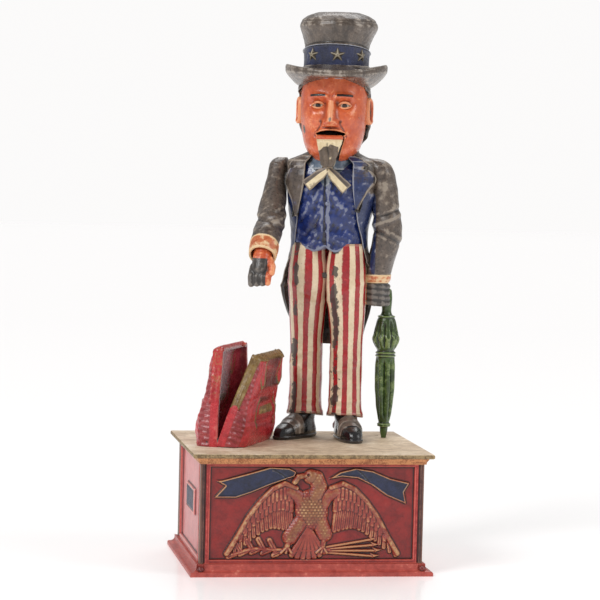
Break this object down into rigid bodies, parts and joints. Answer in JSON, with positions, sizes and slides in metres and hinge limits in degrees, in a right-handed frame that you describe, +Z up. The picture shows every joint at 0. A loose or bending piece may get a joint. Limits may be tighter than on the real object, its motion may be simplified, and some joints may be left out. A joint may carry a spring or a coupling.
{
  "type": "mechanical coin bank",
  "caption": "Cast-iron coin bank: a standing figure in a top hat on a box lowers its arm over an open satchel when a knob is pressed.",
  "frame": {"origin": "centre of the base plate at the surface it stands on", "axes": "+Z up, -Y out of the front panel with the relief, +X to the right seen from the front"},
  "size_m": [0.125, 0.108, 0.29],
  "materials": {
    "red_paint": "old gloss paint, worn",
    "panel_paint": "old gloss paint, worn",
    "stage_paint": "worn matt paint",
    "coat_paint": "worn paint",
    "vest_paint": "worn gloss paint",
    "trouser_paint": "striped paint, chipped",
    "skin_paint": "worn gloss paint",
    "hat_paint": "worn paint",
    "beard_paint": "worn paint",
    "shoe_paint": "gloss paint",
    "satchel_paint": "old gloss paint, worn",
    "gilt_paint": "worn gilt",
    "umbrella_paint": "worn gloss paint",
    "iron": "bare and oiled",
    "steel": "plain"
  },
  "bodies": {
    "bank": {"base_plate": "red_paint", "front_panel": "panel_paint", "back_panel": "panel_paint", "left_panel": "panel_paint", "right_panel": "panel_paint", "top_plate": "stage_paint", "tie_screws": "iron", "plinth_rivets": "red_paint", "figure_front": "coat_paint", "figure_back": "coat_paint", "figure_screws": "iron", "foot_screws": "iron", "jaw_pin": "steel", "umbrella": "umbrella_paint", "satchel_fixed_half": "satchel_paint", "satchel_hinge_pins": "steel", "satchel_screws": "iron", "lever_pin": "steel", "lever_spring": "steel"},
    "trap": {"coin_trap": "iron"},
    "lever": {"lever": "iron", "lever_knob": "red_paint"},
    "arm": {"right_arm": "coat_paint", "arm_shaft": "steel", "arm_crank": "steel", "jaw_crank": "steel"},
    "arm_rod": {"arm_link": "steel"},
    "jaw": {"jaw": "beard_paint"},
    "jaw_rod": {"jaw_link": "steel"},
    "satchel_door": {"satchel_moving_half": "satchel_paint"}
  },
  "joints": [
    {"name": "arm_swing", "type": "hinge", "parent": "bank", "child": "arm", "pos_m": [-0.00316, 0.03558, 0.2056], "axis": [-0.9272, 0.3746, 0], "range_deg": [0, 45]},
    {"name": "lever_rock", "type": "hinge", "parent": "bank", "child": "lever", "pos_m": [0, 0.0083, 0.05], "axis": [1, 0, 0], "range_deg": [0, 12], "stiffness_Nm_per_rad": 0.05, "springref_deg": 20.05, "deforming": ["lever_spring"]},
    {"name": "arm_rod_lift", "type": "slide", "parent": "bank", "child": "arm_rod", "axis": [0, 0, 1], "range_m": [0, 0.00383]},
    {"name": "jaw_wag", "type": "hinge", "parent": "bank", "child": "jaw", "pos_m": [0.01732, 0.01764, 0.221], "axis": [-0.9659, 0.2588, 0], "range_deg": [0, 9.21]},
    {"name": "jaw_rod_drop", "type": "slide", "parent": "bank", "child": "jaw_rod", "axis": [0, 0, -1], "range_m": [0, 0.00184]},
    {"name": "satchel_close", "type": "hinge", "parent": "bank", "child": "satchel_door", "pos_m": [-0.03467, 0.00118, 0.065], "axis": [-0.4226, -0.9063, 0], "range_deg": [0, 19]},
    {"name": "trap_twist", "type": "hinge", "parent": "bank", "child": "trap", "pos_m": [-0.014, -0.008, 0.004], "axis": [0, 0, 1], "range_deg": [0, 60]}
  ],
  "couplings": [
    {"joint": "lever_rock", "follows": "arm_swing", "ratio": 0.26667},
    {"joint": "arm_rod_lift", "follows": "arm_swing", "m_per_rad": 0.004872},
    {"joint": "jaw_wag", "follows": "arm_swing", "ratio": 0.20448},
    {"joint": "jaw_rod_drop", "follows": "arm_swing", "m_per_rad": 0.0023388},
    {"joint": "satchel_close", "follows": "arm_swing", "ratio": 0.42222}
  ]
}
